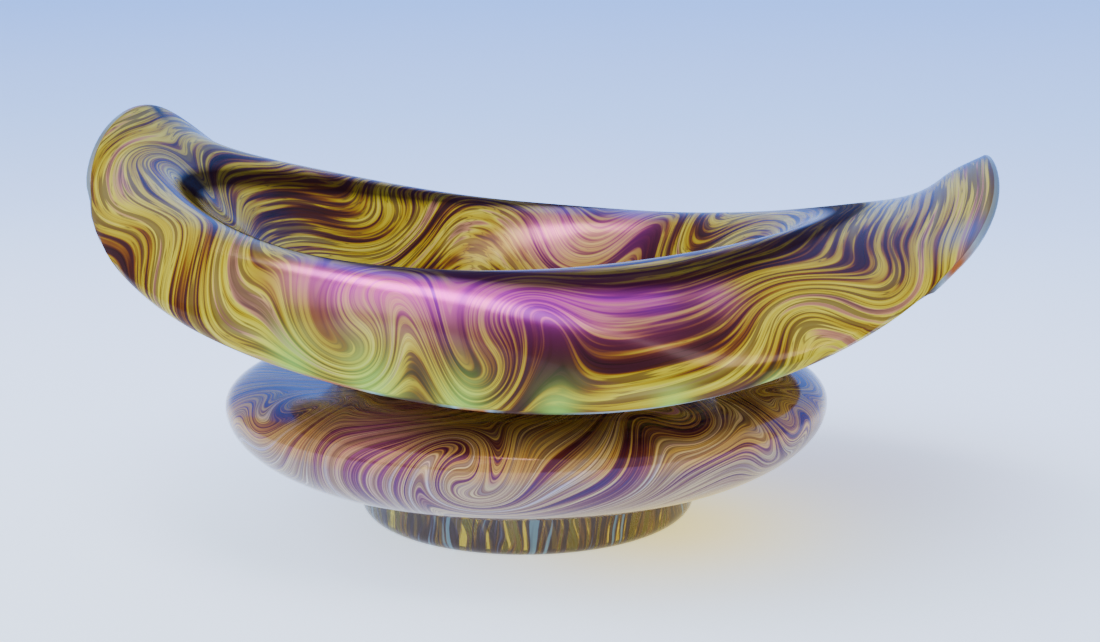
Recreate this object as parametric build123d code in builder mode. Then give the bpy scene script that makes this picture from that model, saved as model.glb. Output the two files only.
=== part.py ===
from build123d import *
from math import cos, pi, sin, tanh
import os

# Boat-shaped art glass bowl: a flared bowl with its two long sides turned down and its ends
# drawn up to tips, on a squat round bulb and a ring foot. It is one blown bubble of clear glass
# cased in a thin marbled colour skin, with a separate gather of glass applied as the foot.
#
# Axes: +X runs along the bowl to its lower tip, +Y across it, +Z up. The origin is the middle of
# the bowl's outline, on the plane that the foot stands on. Millimetres.

# --- driving dimensions ---
# One tip is drawn out further than the other, so the round foot and bulb stand off the middle.
FOOT_X = -5.0

# Foot: a short ring, open underneath. Its colour skin stops above the bare standing lip.
FOOT_RADIUS = 54.0
FOOT_WALL = 10.0
FOOT_LIP = 5.0
FOOT_INNER_ROUND = 2.5

# Bulb: elliptical quarters above and below its widest line, the upper one only as deep as its
# shoulder, then a flat top and a small fillet up into the waist.
BULB_RADIUS = 95.0
BULB_FLOOR = 14.0
BULB_EQUATOR = 38.0
BULB_SHOULDER = 18.0
BULB_TOP = 47.5
BULB_FLOOR_RADIUS = 43.0
WAIST_RADIUS = 55.0
WAIST_FILLET = 3.0
PONTIL_RADIUS = 16.0
PONTIL_DEPTH = 1.4

# Glass: clear body glass inside, and the colour skin outside it. Both thin out towards the rim.
BODY_GLASS = 2.8
COLOUR_SKIN = 0.9
RIM_SHARE = 0.7

# Upper bowl: in every radial plane the wall runs from the waist over a belly, crest, shoulder and
# rim point. Each of the lines that these points make round the bowl has a superellipse plan
# (along, across, power) and a height that climbs from the sides to the ends as a power of the
# cosine (rise). "swell" lifts the line gently between side and end. "shift", "lean" and "peak"
# are the differences between the ends: in reach, in height along the sides and at the tips.
BELLY = dict(along=85.5, across=67.5, power=1.8, side=82.5, end=87.5, rise=4.3, swell=0)
BELLY.update(shift=-0.1, lean=6.5, peak=0)
CREST = dict(along=113.5, across=95, power=2, side=84.5, end=106, rise=4.2, swell=0)
CREST.update(shift=0, lean=-13, peak=-5)
RIM = dict(along=140, across=97.5, power=2.55, side=56, end=122, rise=6.4, swell=20)
RIM.update(shift=0.05, lean=-9.5, peak=-7)
END_SHARPNESS = 4.0
WAIST_RUN = 60.0

# The shoulder stands beyond the rim along the turned-down sides, and on the straight way between
# crest and rim at the tips.
SHOULDER_OUT = 1.13
SHOULDER_UP = 0.31
TIP_OUT = 0.55
TIP_UP = 0.45
TIP_NARROWNESS = 7.5

# The rim is drawn in a little at each tip, more so at the +X one.
TIP_INSET = 0.042
TIP_INSET_DIFFERENCE = 0.35
TIP_INSET_NARROWNESS = 22

# How finely the upper bowl's curves are sampled.
SECTIONS = 48
POINTS = 12

# --- worked out from the dimensions above ---
GLASS = BODY_GLASS + COLOUR_SKIN
WAIST_HEIGHT = BULB_TOP + WAIST_FILLET
FILLET_CENTRE = WAIST_RADIUS + GLASS + WAIST_FILLET
PONTIL_SPHERE = (PONTIL_RADIUS**2 + PONTIL_DEPTH**2) / (2 * PONTIL_DEPTH)
BULB_PLANE = Plane(origin=(FOOT_X, 0, 0), x_dir=(1, 0, 0), z_dir=(0, -1, 0))
BULB_AXIS = Axis((FOOT_X, 0, 0), (0, 0, 1))

os.makedirs("parts", exist_ok=True)


# --- shapes that several sub-parts share ---
def bulb_line(depth):
    """Section of the bulb from its axis to its waist, at a depth below the outside."""
    floor = Line((0, BULB_FLOOR + depth), (BULB_FLOOR_RADIUS, BULB_FLOOR + depth))
    EllipticalCenterArc(
        (BULB_FLOOR_RADIUS, BULB_EQUATOR),
        BULB_RADIUS - BULB_FLOOR_RADIUS - depth,
        BULB_EQUATOR - BULB_FLOOR - depth,
        start_angle=270,
        arc_size=90,
    )
    shoulder = EllipticalCenterArc(
        (BULB_RADIUS - BULB_SHOULDER, BULB_EQUATOR),
        BULB_SHOULDER - depth,
        BULB_TOP - BULB_EQUATOR - depth,
        start_angle=0,
        arc_size=90,
    )
    Line(shoulder @ 1, (FILLET_CENTRE, BULB_TOP - depth))
    waist = CenterArc((FILLET_CENTRE, WAIST_HEIGHT), WAIST_FILLET + depth, 180, 90)
    return floor @ 0, waist @ 0


def bulb_layer(inner_depth, outer_depth):
    """Closed section of one layer of the bulb's glass."""
    with BuildSketch(BULB_PLANE) as section:
        with BuildLine():
            outer_floor, outer_waist = bulb_line(outer_depth)
            inner_floor, inner_waist = bulb_line(inner_depth)
            Line(outer_floor, inner_floor)
            Line(outer_waist, inner_waist)
        make_face()
    return section.sketch


def ring_point(line, angle):
    """Radius and height of one line of the upper bowl, at an angle round it."""
    along = cos(angle)
    end = tanh(END_SHARPNESS * along)
    reach = line["along"] * (1 + line["shift"] * end)
    plan = (abs(along) / reach) ** line["power"] + (abs(sin(angle)) / line["across"]) ** line["power"]
    climb = abs(along) ** line["rise"]
    height = line["side"] + line["lean"] * along * (1 - along**4)
    height += (line["end"] - line["side"] + line["peak"] * end) * climb
    height += line["swell"] * (along**2 - climb)
    return Vector(plan ** (-1 / line["power"]), height)


def face_line(angle):
    """The bowl's upper face in the radial plane at an angle, from the waist to the rim."""
    belly = ring_point(BELLY, angle)
    crest = ring_point(CREST, angle)
    edge = ring_point(RIM, angle)
    along = cos(angle)
    inset = TIP_INSET * (1 + TIP_INSET_DIFFERENCE * tanh(END_SHARPNESS * along))
    rim = Vector(edge.X * (1 - inset * abs(along) ** TIP_INSET_NARROWNESS), edge.Y)
    side = 1 - abs(along) ** TIP_NARROWNESS
    out = TIP_OUT + (SHOULDER_OUT - TIP_OUT) * side
    up = TIP_UP + (SHOULDER_UP - TIP_UP) * side
    shoulder = Vector(crest.X + out * (rim.X - crest.X), rim.Y + up * (crest.Y - rim.Y))
    return Edge.make_spline(
        [Vector(WAIST_RADIUS, WAIST_HEIGHT), belly, crest, shoulder, rim],
        tangents=[Vector(0, WAIST_RUN), (rim - shoulder) * 4],
        parameters=[0, 0.25, 0.5, 0.75, 1],
        scale=False,
    )


def depth_points(face, depth):
    """Points at a depth below the face, which thins out from the waist to the rim."""
    points = [Vector(WAIST_RADIUS + depth, WAIST_HEIGHT)]
    for k in range(1, POINTS + 1):
        run = k / POINTS
        tangent = face.tangent_at(run)
        away = Vector(tangent.Y, -tangent.X)
        points.append(face.position_at(run) + away * depth * (1 - (1 - RIM_SHARE) * run))
    return points


def bowl_section(angle, inner_depth, outer_depth):
    """Closed section of one layer of the upper bowl's glass, in the radial plane at an angle."""
    face = face_line(angle)
    radial = Plane(
        origin=(FOOT_X, 0, 0),
        x_dir=(cos(angle), sin(angle), 0),
        z_dir=(sin(angle), -cos(angle), 0),
    )
    with BuildSketch(radial) as section:
        with BuildLine():
            front = Spline(*depth_points(face, inner_depth))
            back = Spline(*depth_points(face, outer_depth))
            Line(front @ 0, back @ 0)
            Line(front @ 1, back @ 1)
        make_face()
    return section.sketch.faces()[0]


def bowl_layer(inner_depth, outer_depth):
    """Sections all round one layer of the upper bowl, back to the first one."""
    angles = [2 * pi * k / SECTIONS for k in range(SECTIONS)]
    sections = [bowl_section(angle, inner_depth, outer_depth) for angle in angles]
    return sections + sections[:1]


def finish(piece, label):
    piece.part.label = label
    export_step(piece.part, f"parts/{label}.step")


# --- the whole bulb, and the ground pontil, as cutting shapes ---
with BuildPart(mode=Mode.PRIVATE) as bulb_outside:
    with BuildSketch(BULB_PLANE):
        with BuildLine():
            lowest, highest = bulb_line(0)
            Polyline(highest, (0, WAIST_HEIGHT), lowest)
        make_face()
    revolve(axis=BULB_AXIS)

with BuildPart(mode=Mode.PRIVATE) as pontil_cutter:
    with Locations((FOOT_X, 0, BULB_FLOOR + PONTIL_DEPTH - PONTIL_SPHERE)):
        Sphere(PONTIL_SPHERE)

# --- bulb: the lower chamber of the bubble, with the dish ground where its rod was cracked off ---
with BuildPart() as bulb_wall:
    revolve(bulb_layer(GLASS, COLOUR_SKIN), axis=BULB_AXIS)
    add(pontil_cutter.part, mode=Mode.SUBTRACT)
finish(bulb_wall, "bulb_wall")

with BuildPart() as bulb_skin:
    revolve(bulb_layer(COLOUR_SKIN, 0), axis=BULB_AXIS)
    add(pontil_cutter.part, mode=Mode.SUBTRACT)
finish(bulb_skin, "bulb_skin")

# --- upper bowl: the rest of the bubble, opened, turned down at the sides and drawn to tips ---
with BuildPart() as bowl_wall:
    loft(sections=bowl_layer(0, BODY_GLASS))
finish(bowl_wall, "bowl_wall")

with BuildPart() as bowl_skin:
    loft(sections=bowl_layer(BODY_GLASS, GLASS))
finish(bowl_skin, "bowl_skin")

# --- foot: a gather applied under the bulb and shaped to a ring, fused to the bulb's curve ---
with BuildPart() as foot_ring:
    with BuildSketch(BULB_PLANE):
        with BuildLine():
            inner = FOOT_RADIUS - FOOT_WALL
            lip = FOOT_RADIUS - COLOUR_SKIN
            Polyline(
                (inner + FOOT_INNER_ROUND, 0),
                (FOOT_RADIUS - FOOT_LIP, 0),
            )
            CenterArc((FOOT_RADIUS - FOOT_LIP, FOOT_LIP), FOOT_LIP, 270, 90)
            Polyline(
                (FOOT_RADIUS, FOOT_LIP),
                (lip, FOOT_LIP),
                (lip, BULB_EQUATOR),
                (inner, BULB_EQUATOR),
                (inner, FOOT_INNER_ROUND),
            )
            CenterArc((inner + FOOT_INNER_ROUND, FOOT_INNER_ROUND), FOOT_INNER_ROUND, 180, 90)
        make_face()
    revolve(axis=BULB_AXIS)
    add(bulb_outside.part, mode=Mode.SUBTRACT)
finish(foot_ring, "foot_ring")

with BuildPart() as foot_skin:
    with BuildSketch(Plane(origin=(FOOT_X, 0, FOOT_LIP))):
        Circle(FOOT_RADIUS)
        Circle(FOOT_RADIUS - COLOUR_SKIN, mode=Mode.SUBTRACT)
    extrude(amount=BULB_EQUATOR - FOOT_LIP)
    add(bulb_outside.part, mode=Mode.SUBTRACT)
finish(foot_skin, "foot_skin")
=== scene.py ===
import math

import bpy
from mathutils import Matrix, Vector


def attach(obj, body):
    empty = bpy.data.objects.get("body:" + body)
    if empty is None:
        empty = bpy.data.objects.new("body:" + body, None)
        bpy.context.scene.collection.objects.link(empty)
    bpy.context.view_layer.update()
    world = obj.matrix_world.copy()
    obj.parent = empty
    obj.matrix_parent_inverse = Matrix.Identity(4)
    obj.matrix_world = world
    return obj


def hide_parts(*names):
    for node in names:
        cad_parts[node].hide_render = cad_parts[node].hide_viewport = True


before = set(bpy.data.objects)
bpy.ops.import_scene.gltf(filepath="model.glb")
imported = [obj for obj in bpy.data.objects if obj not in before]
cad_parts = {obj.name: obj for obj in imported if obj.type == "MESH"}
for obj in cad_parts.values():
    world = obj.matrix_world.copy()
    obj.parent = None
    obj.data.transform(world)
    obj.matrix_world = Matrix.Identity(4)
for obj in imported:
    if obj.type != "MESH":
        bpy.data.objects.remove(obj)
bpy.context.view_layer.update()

# Foot: a gather of clear olive glass applied hot under the bulb, shaped to a short ring with a
# wet block and left open underneath. Dark strands of colour glass run down its outside.
FOOT_X = -0.005
AROUND = 240
FOOT_RADIUS = 0.054
FOOT_INNER = 0.044
FOOT_LIP = 0.005
FOOT_INNER_ROUND = 0.0025
BULB_FLOOR = 0.014
BULB_FLOOR_RADIUS = 0.043
BULB_RADIUS = 0.095
BULB_EQUATOR = 0.038


def tone(red, green, blue):
    """A colour written in 0 to 255 screen values, as the linear values that materials take."""
    scaled = [value / 255 for value in (red, green, blue)]
    return tuple(c / 12.92 if c <= 0.04045 else ((c + 0.055) / 1.055) ** 2.4 for c in scaled) + (1.0,)


def arc(centre, across, up, start, sweep, steps):
    """Radius and height of points on part of an ellipse, with the angles in degrees."""
    turns = [math.radians(start + sweep * k / steps) for k in range(steps + 1)]
    return [Vector((centre[0] + across * math.cos(t), centre[1] + up * math.sin(t))) for t in turns]


def blown(name, profile_at, disc_start):
    """A hollow glass piece: a circle is drawn out ring by ring along a closed profile.

    profile_at gives, for an angle, a list of (point, length, run): the point's radius and height,
    how far it is along the glass, and a value that counts the glass's own landmarks. The UV map
    "disc" lays the glass out flat as a disc in metres, and "run" carries the landmark value.
    """
    bpy.ops.object.select_all(action="DESELECT")
    bpy.ops.mesh.primitive_circle_add(vertices=AROUND, radius=0.1)
    piece = bpy.context.object
    piece.name = name
    mesh = piece.data
    columns = []
    for vertex in mesh.vertices:
        turn = math.atan2(vertex.co.y, vertex.co.x)
        columns.append((turn, profile_at(turn)))
    rings = len(columns[0][1])
    bpy.ops.object.mode_set(mode="EDIT")
    bpy.ops.mesh.select_all(action="SELECT")
    for ring in range(1, rings):
        bpy.ops.mesh.extrude_region_move()
    bpy.ops.object.mode_set(mode="OBJECT")
    places = []
    for vertex in mesh.vertices:
        turn, profile = columns[vertex.index % AROUND]
        (radius, height), length, run = profile[vertex.index // AROUND]
        vertex.co = (FOOT_X + radius * math.cos(turn), radius * math.sin(turn), height)
        reach = disc_start + length
        places.append(((reach * math.cos(turn), reach * math.sin(turn)), (run, 0.0)))
    disc = mesh.uv_layers.new(name="disc")
    runs = mesh.uv_layers.new(name="run")
    for loop in mesh.loops:
        disc.data[loop.index].uv, runs.data[loop.index].uv = places[loop.vertex_index]
    bpy.ops.object.mode_set(mode="EDIT")
    bpy.ops.mesh.select_all(action="SELECT")
    bpy.ops.mesh.remove_doubles(threshold=1e-6)
    bpy.ops.mesh.normals_make_consistent(inside=False)
    bpy.ops.object.mode_set(mode="OBJECT")
    bpy.ops.object.shade_smooth_by_angle(angle=math.radians(50))
    return piece


def measured(points):
    """A profile for blown(): points with the length up to each, which is the landmark value too."""
    rows = [(points[0], 0.0, 0.0)]
    for before, point in zip(points, points[1:]):
        length = rows[-1][1] + (point - before).length
        rows.append((point, length, length))
    return rows


def under_bulb(radius):
    """The bulb's underside at a radius, as radius and height."""
    share = (radius - BULB_FLOOR_RADIUS) / (BULB_RADIUS - BULB_FLOOR_RADIUS)
    drop = (BULB_EQUATOR - BULB_FLOOR) * math.sqrt(1 - share**2)
    return Vector((radius, BULB_EQUATOR - drop))


class Wire:
    """A socket in a material's nodes. Arithmetic on it adds Math nodes."""

    def __init__(self, tree, socket=None):
        self.tree = tree
        self.socket = socket

    def add(self, kind, settings, inputs, output=0):
        """A node of any kind: its settings first, then the values or links of its sockets."""
        node = self.tree.nodes.new("ShaderNode" + kind)
        for name, value in settings.items():
            setattr(node, name, value)
        for name, value in inputs.items():
            if isinstance(value, Wire):
                self.tree.links.new(value.socket, node.inputs[name])
            else:
                node.inputs[name].default_value = value
        return Wire(self.tree, node.outputs[output])

    def maths(self, operation, *values):
        return self.add("Math", {"operation": operation}, dict(enumerate(values)))

    def vector(self, operation, *values, output=0):
        return self.add("VectorMath", {"operation": operation}, dict(enumerate(values)), output)

    def capped(self):
        return self.maths("MINIMUM", self, 1.0)

    def mixed(self, other, share):
        """This colour mixed with another by a share."""
        return self.add("Mix", {"data_type": "RGBA"}, {0: share, 6: self, 7: other}, 2)

    def ramp(self, *stops):
        """Colours or grey levels at positions along this value."""
        result = self.add("ValToRGB", {}, {0: self})
        elements = result.socket.node.color_ramp.elements
        for place, colour in stops[1:-1]:
            elements.new(place)
        for element, (place, colour) in zip(elements, stops):
            element.position = place
            element.color = colour if isinstance(colour, tuple) else (colour, colour, colour, 1)
        return result

    def __add__(self, other):
        return self.maths("ADD", self, other)

    def __sub__(self, other):
        return self.maths("SUBTRACT", self, other)

    def __rsub__(self, other):
        return self.maths("SUBTRACT", other, self)

    def __mul__(self, other):
        return self.maths("MULTIPLY", self, other)

    def __truediv__(self, other):
        return self.maths("DIVIDE", self, other)

    __radd__ = __add__
    __rmul__ = __mul__


def material(name):
    """An empty material, as a wire to build from and the output node."""
    surface = bpy.data.materials.new(name)
    surface.use_nodes = True
    tree = surface.node_tree
    tree.nodes.clear()
    output = tree.nodes.new("ShaderNodeOutputMaterial")
    return surface, Wire(tree), output


def spot(disc, centre, reach):
    """1 at a place on the disc, falling off to 0 in a bell over a reach."""
    far = disc.vector("DISTANCE", disc, (centre.x, centre.y, 0), output=1) / reach
    return disc.maths("EXPONENT", far * far * -1)


def twirl(disc, centre, reach, degrees):
    """The glass stirred round a place, as a rod stirs soft colour."""
    angle = spot(disc, centre, reach) * math.radians(degrees)
    inputs = {"Vector": disc, "Center": (centre.x, centre.y, 0), "Angle": angle}
    return disc.add("VectorRotate", {"rotation_type": "Z_AXIS"}, inputs)


def drag(disc, centre, reach, outward):
    """The glass combed outward (or inward) at a place."""
    push = centre.normalized() * -outward
    inputs = {0: (push.x, push.y, 0), "Scale": spot(disc, centre, reach)}
    moved = disc.add("VectorMath", {"operation": "SCALE"}, inputs)
    return disc.vector("ADD", disc, moved)


def stirred(disc, fineness, amount):
    """The glass wandering gently to and fro."""
    inputs = {"Vector": disc, "Scale": fineness, "Detail": 1.0}
    drift = disc.add("TexNoise", {}, inputs, "Color")
    drift = drift.vector("SUBTRACT", drift, (0.5, 0.5, 0.5))
    return disc.vector("MULTIPLY_ADD", drift, (amount, amount, 0), disc)


def strand(disc, around, outward):
    """Noise drawn out to strands: how fine it is round the disc, and how fine outward."""
    rise = disc.vector("LENGTH", disc, output=1) * outward
    height = disc.add("CombineXYZ", {}, {"Z": rise})
    course = disc.vector("NORMALIZE", disc)
    place = disc.vector("MULTIPLY_ADD", course, (around, around, 0), height)
    return disc.add("TexNoise", {}, {"Vector": place, "Scale": 1.0, "Detail": 1.5})


foot_line = [under_bulb(FOOT_INNER), Vector((FOOT_INNER, 0.008))]
centre = (FOOT_INNER + FOOT_INNER_ROUND, FOOT_INNER_ROUND)
foot_line += arc(centre, FOOT_INNER_ROUND, FOOT_INNER_ROUND, 180, 90, 5)
centre = (FOOT_RADIUS - FOOT_LIP, FOOT_LIP)
foot_line += arc(centre, FOOT_LIP, FOOT_LIP, 270, 90, 7)
foot_line += [Vector((FOOT_RADIUS, height)) for height in (0.008, 0.011)]
foot_line += [under_bulb(radius) for radius in (FOOT_RADIUS, 0.051, 0.048, FOOT_INNER)]
foot = blown("foot_glass", lambda turn: measured(foot_line), 0.03)

foot_glass, start, output = material("foot_olive_glass")
disc = start.add("UVMap", {"uv_map": "disc"}, {})
bent = stirred(stirred(disc, 18.0, 0.030), 60.0, 0.008)
veins = strand(bent, 16.0, 25.0) * 0.6 + strand(bent, 48.0, 40.0) * 0.4
# dark strands with blue-grey hearts, over clear olive glass
dark = veins.ramp((0.46, 1.0), (0.530, 1.0), (0.565, 0.0), (0.65, 0.0))
tint = veins.ramp(
    (0.38, tone(96, 128, 140)), (0.42, tone(60, 34, 62)), (0.46, tone(38, 12, 26)),
    (0.50, tone(52, 22, 26)), (0.54, tone(120, 84, 36)),
)
inputs = {"Base Color": tone(196, 176, 40), "Roughness": 0.05, "Transmission Weight": 0.92, "IOR": 1.5}
clear = start.add("BsdfPrincipled", {}, inputs)
strands = start.add("BsdfPrincipled", {}, {"Base Color": tint, "Roughness": 0.10})
mixed = start.add("MixShader", {}, {0: dark * 0.88, 1: clear, 2: strands})
start.tree.links.new(mixed.socket, output.inputs["Surface"])
foot.data.materials.append(foot_glass)
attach(foot, "root")
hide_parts("foot_ring", "foot_skin")

# Bulb: the squat round chamber of the blown bubble, in clear glass cased with marbled colour and
# a metallic sheen. Its rod was cracked off underneath, and the scar ground to a shallow dish.
GLASS = 0.0037
WAIST_RADIUS = 0.055
BULB_TOP = 0.0475
BULB_SHOULDER = 0.018
WAIST_FILLET = 0.003
WAIST_HEIGHT = BULB_TOP + WAIST_FILLET
FILLET_CENTRE = WAIST_RADIUS + GLASS + WAIST_FILLET
PONTIL_RADIUS = 0.016
PONTIL_DEPTH = 0.0014


def bulb_side(depth, steps):
    """The bulb from its floor's edge to its waist, at a depth below the outside."""
    centre = (BULB_FLOOR_RADIUS, BULB_EQUATOR)
    line = arc(centre, BULB_RADIUS - centre[0] - depth, BULB_EQUATOR - BULB_FLOOR - depth, 270, 90, steps)
    centre = (BULB_RADIUS - BULB_SHOULDER, BULB_EQUATOR)
    line += arc(centre, BULB_SHOULDER - depth, BULB_TOP - BULB_EQUATOR - depth, 0, 90, steps)[1:]
    line += [Vector((radius, BULB_TOP - depth)) for radius in (0.072, 0.067)]
    centre = (FILLET_CENTRE, WAIST_HEIGHT)
    return line + arc(centre, WAIST_FILLET + depth, WAIST_FILLET + depth, 270, -90, 6)[1:]


pontil = []
for radius in (0.0, 0.005, 0.010, 0.0135, PONTIL_RADIUS):
    dish = PONTIL_DEPTH * (1 - (radius / PONTIL_RADIUS) ** 2)
    pontil.append(Vector((radius, BULB_FLOOR + dish)))
outside = measured(pontil + [Vector((0.03, BULB_FLOOR))] + bulb_side(0, 28))
floor = [Vector((radius, BULB_FLOOR + GLASS)) for radius in (0.0, 0.01, 0.02, 0.03)]
inside = measured(floor + bulb_side(GLASS, 20))
bulb_profile = outside + inside[::-1]
bulb = blown("bulb_glass", lambda turn: bulb_profile, 0.0)

bulb_glass, start, output = material("bulb_marbled_glass")


def on_bulb(degrees, length):
    """A place on the bulb's disc."""
    turn = math.radians(degrees)
    return Vector((length * math.cos(turn), length * math.sin(turn)))


flat = start.add("UVMap", {"uv_map": "disc"}, {})
disc = stirred(stirred(flat, 11.0, 0.018), 36.0, 0.003)
# eddies left by stirring the soft glass: where, how far each reaches and how far it turned
for degrees, length, size, turned in (
    (-126, 0.120, 0.015, 230), (-87, 0.103, 0.013, -190), (-21, 0.112, 0.018, 200),
    (-50, 0.124, 0.016, -90), (-108, 0.092, 0.022, 70), (20, 0.106, 0.020, 140),
    (75, 0.1115, 0.020, 85), (120, 0.116, 0.020, 40), (165, 0.1205, 0.020, -5), (0, 0, 0.100, 130),
):
    disc = twirl(disc, on_bulb(degrees, length), size, turned)
broad = strand(disc, 10.0, 12.0)
middle = strand(disc, 36.0, 20.0)
fine = strand(disc, 110.0, 26.0)
blend = broad * 0.45 + middle * 0.35 + fine * 0.20
# ochre and brown above the widest line, lilac and cream below it, partly a painted reflection, and a
# painted gold highlight just over it
lilac = blend.ramp(
    (0.37, tone(44, 34, 74)), (0.43, tone(72, 44, 62)), (0.47, tone(138, 118, 104)),
    (0.51, tone(176, 162, 128)), (0.55, tone(92, 64, 82)), (0.59, tone(190, 180, 158)),
    (0.66, tone(112, 102, 160)),
)
ochre = blend.ramp(
    (0.36, tone(30, 8, 20)), (0.43, tone(72, 30, 30)), (0.47, tone(146, 100, 50)),
    (0.51, tone(190, 156, 74)), (0.55, tone(88, 40, 46)), (0.59, tone(206, 172, 98)),
    (0.66, tone(206, 140, 140)),
)
painted_gold_highlight = blend.ramp((0.44, tone(110, 44, 24)), (0.49, tone(222, 150, 40)), (0.60, tone(244, 190, 84)))
reach = flat.vector("LENGTH", flat, output=1)
# above the widest line the colour partly paints the reflection of the dark bowl, below it that of the pale
# table; a painted highlight belt lies just above
upper = reach.ramp((0.0, 0.0), (0.1035, 0.0), (0.1060, 1.0), (1.0, 1.0))
painted_highlight_belt = reach.ramp((0.0, 0.0), (0.1040, 0.0), (0.1060, 1.0), (0.1095, 0.9), (0.1150, 0.0), (1.0, 0.0))
colour = lilac.mixed(ochre, upper)
colour = colour.mixed(painted_gold_highlight, painted_highlight_belt * 0.6)
# a painted pink sheen on the bulb under the bowl's near side
painted_pink_sheen = spot(flat, on_bulb(-104, 0.123), 0.020)
colour = colour.mixed(tone(196, 84, 150), painted_pink_sheen * 0.45)
# hair-thin dark threads
lines = (fine - middle * 0.4).ramp((0.24, 1.0), (0.28, 0.0), (0.33, 0.0), (0.36, 1.0), (0.39, 0.0))
colour = colour.mixed(tone(56, 20, 44), lines * 0.65)
sheen = blend.ramp(
    (0.38, tone(110, 84, 170)), (0.45, tone(210, 90, 160)), (0.52, tone(240, 170, 70)),
    (0.62, tone(180, 160, 230)),
)
# the ground pontil dish is matt
ground = reach.ramp((0.0, 1.0), (PONTIL_RADIUS - 0.0002, 1.0), (PONTIL_RADIUS + 0.0002, 0.0), (1.0, 0.0))
inputs = {"Base Color": colour, "Roughness": ground * 0.5 + 0.08, "IOR": 1.25}
body = start.add("BsdfPrincipled", {}, inputs)
film = start.add("BsdfPrincipled", {}, {"Base Color": sheen, "Metallic": 1.0, "Roughness": 0.16})
mixed = start.add("MixShader", {}, {0: 0.09, 1: body, 2: film})
start.tree.links.new(mixed.socket, output.inputs["Surface"])
bulb.data.materials.append(bulb_glass)
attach(bulb, "root")
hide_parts("bulb_wall", "bulb_skin")

# Upper bowl: the rest of the same bubble, opened out hot, its long sides let down and its two ends
# drawn up to tips. Marbled colour is cased over the clear glass, and metal fumes gave it a sheen.
BELLY = dict(along=0.0855, across=0.0675, power=1.8, side=0.0825, end=0.0875, rise=4.3, swell=0)
BELLY.update(shift=-0.1, lean=0.0065, peak=0)
CREST = dict(along=0.1135, across=0.095, power=2, side=0.0845, end=0.106, rise=4.2, swell=0)
CREST.update(shift=0, lean=-0.013, peak=-0.005)
RIM = dict(along=0.140, across=0.0975, power=2.55, side=0.056, end=0.122, rise=6.4, swell=0.020)
RIM.update(shift=0.05, lean=-0.0095, peak=-0.007)
END_SHARPNESS = 4.0
WAIST_RUN = 0.060
SHOULDER_OUT = 1.13
SHOULDER_UP = 0.31
TIP_OUT = 0.55
TIP_UP = 0.45
TIP_NARROWNESS = 7.5
TIP_INSET = 0.042
TIP_INSET_DIFFERENCE = 0.35
TIP_INSET_NARROWNESS = 22
RIM_SHARE = 0.7
FACE_STEPS = 56
DISC_START = 0.050


def ring_point(line, turn):
    """Radius and height of one line of the upper bowl, at an angle round it."""
    along = math.cos(turn)
    end = math.tanh(END_SHARPNESS * along)
    reach = line["along"] * (1 + line["shift"] * end)
    plan = (abs(along) / reach) ** line["power"]
    plan += (abs(math.sin(turn)) / line["across"]) ** line["power"]
    climb = abs(along) ** line["rise"]
    height = line["side"] + line["lean"] * along * (1 - along**4)
    height += (line["end"] - line["side"] + line["peak"] * end) * climb
    height += line["swell"] * (along**2 - climb)
    return Vector((plan ** (-1 / line["power"]), height))


def face_line(turn, steps):
    """The bowl's upper face at an angle, waist to rim, and the slope at each point."""
    waist = Vector((WAIST_RADIUS, WAIST_HEIGHT))
    belly, crest, edge = (ring_point(line, turn) for line in (BELLY, CREST, RIM))
    along = math.cos(turn)
    inset = TIP_INSET * (1 + TIP_INSET_DIFFERENCE * math.tanh(END_SHARPNESS * along))
    rim = Vector((edge.x * (1 - inset * abs(along) ** TIP_INSET_NARROWNESS), edge.y))
    side = 1 - abs(along) ** TIP_NARROWNESS
    out = TIP_OUT + (SHOULDER_OUT - TIP_OUT) * side
    up = TIP_UP + (SHOULDER_UP - TIP_UP) * side
    shoulder = Vector((crest.x + out * (rim.x - crest.x), rim.y + up * (crest.y - rim.y)))
    knots = [waist, belly, crest, shoulder, rim]
    # slopes that make the curve through the five knots smooth in its bend as well
    first, last = Vector((0, WAIST_RUN)) / 4, rim - shoulder
    bends = [(knots[k + 2] - knots[k]) * 3 for k in range(3)]
    bends[0] -= first
    bends[2] -= last
    middle = (bends[1] - (bends[0] + bends[2]) / 4) / 3.5
    slopes = [first, (bends[0] - middle) / 4, middle, (bends[2] - middle) / 4, last]
    points = []
    for k in range(steps + 1):
        span = min(4 * k // steps, 3)
        t = 4 * k / steps - span
        here, there = knots[span], knots[span + 1]
        leave, arrive = slopes[span], slopes[span + 1]
        point = here * (2 * t**3 - 3 * t**2 + 1) + there * (3 * t**2 - 2 * t**3)
        point += leave * (t**3 - 2 * t**2 + t) + arrive * (t**3 - t**2)
        slope = (there - here) * 6 * (t - t**2) + leave * (3 * t**2 - 4 * t + 1)
        slope += arrive * (3 * t**2 - 2 * t)
        points.append((point, slope.normalized(), k / steps))
    return points


def bowl_profile(turn):
    """The glass at an angle: up the face, round the fire-polished rim, and down the back."""
    face = face_line(turn, 4 * FACE_STEPS)
    lengths = [row[1] for row in measured([point for point, slope, run in face])]
    whole = lengths[-1]
    half_rim = GLASS * RIM_SHARE / 2
    front, back = [], []
    place = 0
    for k in range(FACE_STEPS + 1):
        length = (whole - half_rim) * k / FACE_STEPS
        while lengths[place + 1] < length:
            place += 1
        share = (length - lengths[place]) / (lengths[place + 1] - lengths[place])
        point = face[place][0].lerp(face[place + 1][0], share)
        slope = face[place][1].lerp(face[place + 1][1], share).normalized()
        run = face[place][2] + share / (4 * FACE_STEPS)
        depth = GLASS * (1 - (1 - RIM_SHARE) * length / whole)
        away = Vector((slope.y, -slope.x))
        front.append((point, length, run))
        back.append((point + away * depth, length, run))
    middle = (front[-1][0] + back[-1][0]) / 2
    lip = []
    for k in range(1, 8):
        turned = math.pi * k / 8
        reach = half_rim * 0.97
        point = middle - away * reach * math.cos(turned) + slope * reach * math.sin(turned)
        lip.append((point, whole, 1.0 + 0.02 * math.sin(turned)))
    return front + lip + back[::-1] + front[:1]


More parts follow.
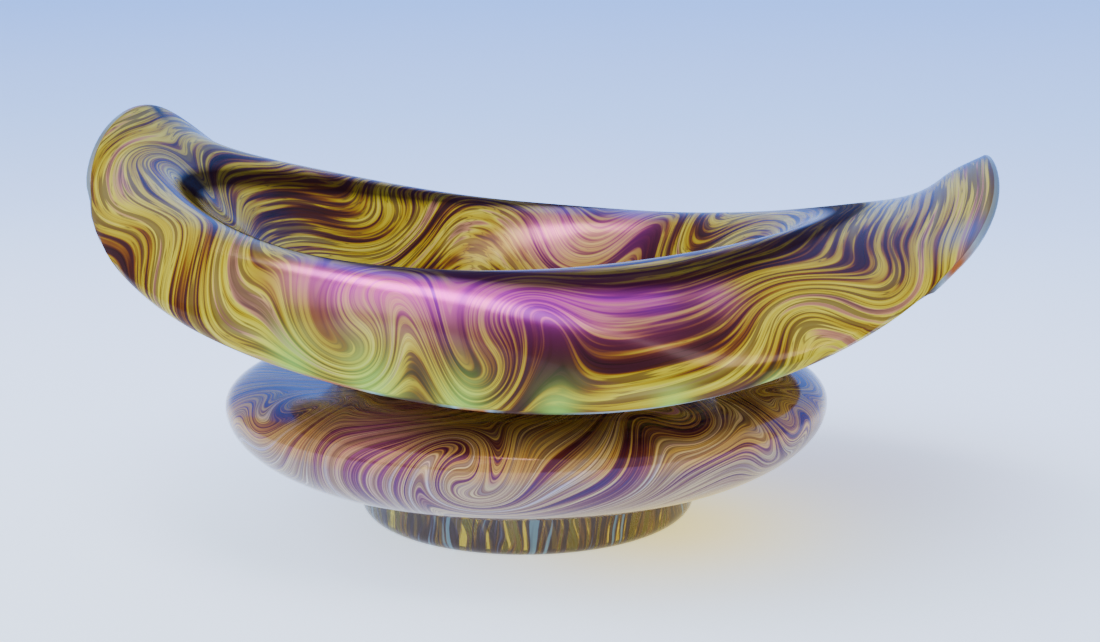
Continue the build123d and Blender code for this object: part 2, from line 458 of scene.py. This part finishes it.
def on_bowl(degrees, run):
    """A place on the bowl's disc, from an angle and a landmark value."""
    turn = math.radians(degrees)
    face = face_line(turn, 100)
    rows = measured([point for point, slope, share in face])
    reach = DISC_START + rows[round(run * 100)][1]
    return Vector((reach * math.cos(turn), reach * math.sin(turn)))


bowl = blown("bowl_glass", bowl_profile, DISC_START)

bowl_glass, start, output = material("bowl_marbled_glass")
flat = start.add("UVMap", {"uv_map": "disc"}, {})
run = start.add("SeparateXYZ", {}, {0: start.add("UVMap", {"uv_map": "run"}, {})})
disc = stirred(stirred(flat, 7.0, 0.016), 26.0, 0.003)
# eddies where the soft glass was stirred, and short pulls where it was combed
for move, degrees, share, size, amount in (
    (twirl, -131, 0.74, 0.030, 70), (twirl, -171, 0.38, 0.016, 150), (twirl, -101, 0.60, 0.017, -110),
    (drag, -107, 0.60, 0.016, 0.018), (twirl, -80, 0.62, 0.017, -95), (drag, -84, 0.60, 0.014, 0.015),
    (drag, -73, 0.66, 0.007, -0.007), (twirl, -35, 0.64, 0.020, 95), (twirl, 97, 0.27, 0.040, 70),
    (twirl, 137, 0.31, 0.026, -80), (twirl, 55, 0.25, 0.030, 80), (twirl, 25, 0.75, 0.020, 85),
    (twirl, 75, 0.75, 0.020, 35), (twirl, 115, 0.75, 0.020, -5), (twirl, 155, 0.75, 0.020, -45),
):
    disc = move(disc, on_bowl(degrees, share), size, amount)
broad = strand(disc, 1.3, 80.0)
middle = strand(disc, 2.0, 260.0)
fine = strand(disc, 3.0, 760.0)


def patches(*places):
    """Soft patches on the bowl added up, each an angle, a landmark value, a size and a strength."""
    total = 0
    for degrees, share, size, strength in places:
        total = spot(flat, on_bowl(degrees, share), size) * strength + total
    return total


# where the brown strands crowd together, and where the yellow ones do
browned = patches((-53, 0.80, 0.027, 1), (-76, 0.66, 0.022, 1), (-90, 0.66, 0.013, 1))
yellowed = patches((-150, 0.62, 0.055, 1), (-34, 0.58, 0.034, 1))
# painted sheen: lime along the lower edge, magenta under the crest and inside, and a painted blue glint
# near a tip
painted_lime_sheen = patches(
    (-112, 0.94, 0.010, 1), (-100, 0.98, 0.012, 1), (-86, 1.0, 0.010, 1), (-72, 1.0, 0.008, 1),
    (-58, 1.0, 0.006, 1), (-47, 1.0, 0.004, 1),
).capped()
painted_violet_sheen = patches(
    (-112, 0.50, 0.010, 0.6), (-104, 0.50, 0.011, 0.7), (-96, 0.485, 0.011, 0.7), (-88, 0.475, 0.011, 0.7),
    (-80, 0.465, 0.011, 0.7), (-72, 0.455, 0.011, 0.7), (-64, 0.45, 0.011, 0.7), (-56, 0.45, 0.011, 0.7),
    (-47, 0.47, 0.009, 0.5), (70, 0.28, 0.018, 0.6), (95, 0.27, 0.018, 0.6),
).capped()
painted_blue_glint = patches((-20, 0.84, 0.008, 1))
# nearly black spots at the tips, partly the glass's colour and partly painted shade
dark = patches((-172, 0.37, 0.008, 0.7), (178, 0.93, 0.005, 1), (1, 0.95, 0.010, 1))
blend = broad * 0.38 + middle * 0.35 + fine * 0.27 - browned * 0.052 + yellowed * 0.036
colour = blend.ramp(
    (0.38, tone(22, 4, 8)), (0.43, tone(62, 18, 10)), (0.465, tone(110, 60, 8)),
    (0.49, tone(150, 122, 4)), (0.54, tone(176, 156, 4)), (0.58, tone(196, 182, 44)),
    (0.61, tone(170, 112, 84)), (0.66, tone(76, 26, 48)),
)
lines = (fine - middle * 0.4).ramp((0.24, 1.0), (0.27, 0.0), (0.33, 0.0), (0.355, 1.0), (0.38, 0.0))
colour = colour.mixed(tone(50, 14, 24), lines * 0.75)
green = middle.ramp((0.42, tone(120, 150, 20)), (0.56, tone(176, 206, 60)))
# the painted sheen colours laid into the glass's own colour
colour = colour.mixed(green, painted_lime_sheen * 0.5)
colour = colour.mixed(tone(136, 16, 96), painted_violet_sheen * 0.5)
colour = colour.mixed(tone(70, 90, 130), painted_blue_glint * 0.35)
# the crest line, seen edge on, is darkened with painted shade, the two tips are nearly black, partly in
# colour and partly painted shade, and a thin line follows just inside the rim
crest = run.ramp((0.335, 0.0), (0.370, 1.0), (0.420, 1.0), (0.460, 0.0))
shade = (dark + crest * 0.85).capped()
colour = colour.mixed(tone(22, 8, 12), shade)
inner_line = run.ramp((0.95, 0.0), (0.965, 0.8), (0.98, 0.8), (0.99, 0.0))
colour = colour.mixed(tone(60, 28, 24), inner_line * 0.6)
# the fire-polished rim shows the clear glass and the ends of the strands
edge = run.ramp((0.985, 0.0), (1.0, 1.0))
edge_colour = broad.ramp(
    (0.42, tone(50, 26, 26)), (0.48, tone(84, 96, 104)), (0.58, tone(130, 150, 162)),
    (0.66, tone(150, 74, 30)),
)
colour = colour.mixed(edge_colour, edge)
# the metal film's colours, painted by place as its sheen, and the share of the surface that it hides
sheen = blend.ramp((0.42, tone(120, 60, 40)), (0.50, tone(200, 150, 50)), (0.60, tone(230, 190, 120)))
magenta = blend.ramp((0.42, tone(150, 30, 190)), (0.50, tone(245, 40, 215)), (0.60, tone(255, 90, 170)))
sheen = sheen.mixed(magenta, painted_violet_sheen)
sheen = sheen.mixed(tone(150, 230, 110), painted_lime_sheen)
sheen = sheen.mixed(tone(120, 160, 240), painted_blue_glint)
body = start.add("BsdfPrincipled", {}, {"Base Color": colour, "Roughness": 0.15, "IOR": 1.22})
film = start.add("BsdfPrincipled", {}, {"Base Color": sheen, "Metallic": 1.0, "Roughness": 0.28})
inputs = {"Base Color": colour, "Roughness": 0.35, "Specular IOR Level": 0.0}
deep = start.add("BsdfPrincipled", {}, inputs)
filmed = (painted_violet_sheen * 0.76 + painted_lime_sheen * 0.14 + painted_blue_glint * 0.10 + middle * 0.15) * (1.0 - shade * 0.8)
mixed = start.add("MixShader", {}, {0: filmed, 1: body, 2: film})
mixed = start.add("MixShader", {}, {0: crest * 0.9, 1: mixed, 2: deep})
start.tree.links.new(mixed.socket, output.inputs["Surface"])
bowl.data.materials.append(bowl_glass)
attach(bowl, "root")
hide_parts("bowl_wall", "bowl_skin")

# Studio: a sheet of pale paper that runs back and curves up behind, and soft lights.
bpy.ops.object.select_all(action="DESELECT")
bpy.ops.mesh.primitive_plane_add(size=1)
paper_sheet = bpy.context.object
paper_sheet.name = "paper_sheet"
bpy.ops.object.mode_set(mode="EDIT")
bpy.ops.transform.resize(value=(8, 4, 1))
bpy.ops.transform.translate(value=(0, 0, -0.0001))
bpy.ops.mesh.select_all(action="DESELECT")
bpy.ops.object.mode_set(mode="OBJECT")
for vertex in paper_sheet.data.vertices:
    vertex.select = vertex.co.y > 1
for side in paper_sheet.data.edges:
    side.select = all(paper_sheet.data.vertices[end].select for end in side.vertices)
bpy.ops.object.mode_set(mode="EDIT")
bpy.ops.mesh.extrude_region_move(TRANSFORM_OT_translate={"value": (0, 0, 3)})
bpy.ops.object.mode_set(mode="OBJECT")
curve = paper_sheet.modifiers.new("curve", "BEVEL")
curve.width = 1.2
curve.segments = 24
curve.limit_method = "ANGLE"
bpy.ops.object.modifier_apply(modifier="curve")
bpy.ops.object.shade_smooth()
paper, start, output = material("pale_paper")
spread = start.add("TexCoord", {}, {}, "Object")
back = start.add("SeparateXYZ", {}, {0: spread}, 1)
height = start.add("SeparateXYZ", {}, {0: spread}, 2)
grain = start.add("TexNoise", {}, {"Vector": spread, "Scale": 6.0, "Detail": 3.0})
colour = (back * 0.4 + height * 1.2 + grain * 0.02).ramp(
    (0.0, tone(216, 232, 255)), (0.25, tone(192, 216, 254)), (0.6, tone(150, 186, 246)),
    (1.0, tone(100, 148, 232)),
)
tinted_shadow = spot(spread, Vector((0.09, 0.055)), 0.080)
colour = colour.mixed(tone(176, 156, 140), tinted_shadow * 0.55)
# a painted pool of yellow light beside the foot, for the light its glass throws on the paper
painted_light_pool = spot(spread, Vector((0.040, -0.014)), 0.050)
colour = colour.mixed(tone(250, 224, 64), painted_light_pool * 0.7)
inputs = {"Base Color": colour, "Roughness": 0.7, "Emission Color": colour, "Emission Strength": 1.4}
body = start.add("BsdfPrincipled", {}, inputs)
start.tree.links.new(body.socket, output.inputs["Surface"])
paper_sheet.data.materials.append(paper)

world = bpy.data.worlds.new("room")
bpy.context.scene.world = world
world.use_nodes = True
air = world.node_tree.nodes["Background"]
air.inputs["Color"].default_value = tone(214, 224, 240)
air.inputs["Strength"].default_value = 1.15


def soft_light(name, place, width, depth, power, colour):
    """A rectangular lamp, aimed at the bowl."""
    lamp = bpy.data.lights.new(name, "AREA")
    lamp.shape = "RECTANGLE"
    lamp.size = width
    lamp.size_y = depth
    lamp.energy = power
    lamp.color = colour
    light = bpy.data.objects.new(name, lamp)
    bpy.context.collection.objects.link(light)
    light.location = place
    aim = Vector((0, 0, 0.05)) - Vector(place)
    light.rotation_euler = aim.to_track_quat("-Z", "Y").to_euler()


soft_light("overhead", (-0.16, -0.20, 1.0), 1.0, 0.30, 7, (1, 0.96, 0.98))
soft_light("front", (-0.8, -1.2, 1.1), 1.5, 1.5, 8, (0.95, 0.97, 1))

# Camera: level with the bowl's rim, a little to the right of square on.
turn = math.radians(13.707)
pitch = math.radians(10.61)
yaw = math.radians(0.978)
roll = math.radians(-0.239)
distance = 0.4338
eye = Vector((FOOT_X + distance * math.sin(turn), -distance * math.cos(turn), 0.1415))
ahead = Vector((math.sin(yaw) * math.cos(pitch), math.cos(yaw) * math.cos(pitch), -math.sin(pitch)))
across = Vector((math.cos(yaw), -math.sin(yaw), 0))
axes = Matrix((across, across.cross(ahead), -ahead)).transposed()
axes = Matrix.Rotation(turn, 3, "Z") @ axes
lens = bpy.data.cameras.new("camera")
lens.lens = 45.16
lens.sensor_width = 36
camera = bpy.data.objects.new("camera", lens)
bpy.context.collection.objects.link(camera)
camera.matrix_world = Matrix.Translation(eye) @ axes.to_4x4() @ Matrix.Rotation(roll, 4, "Z")
bpy.context.scene.camera = camera
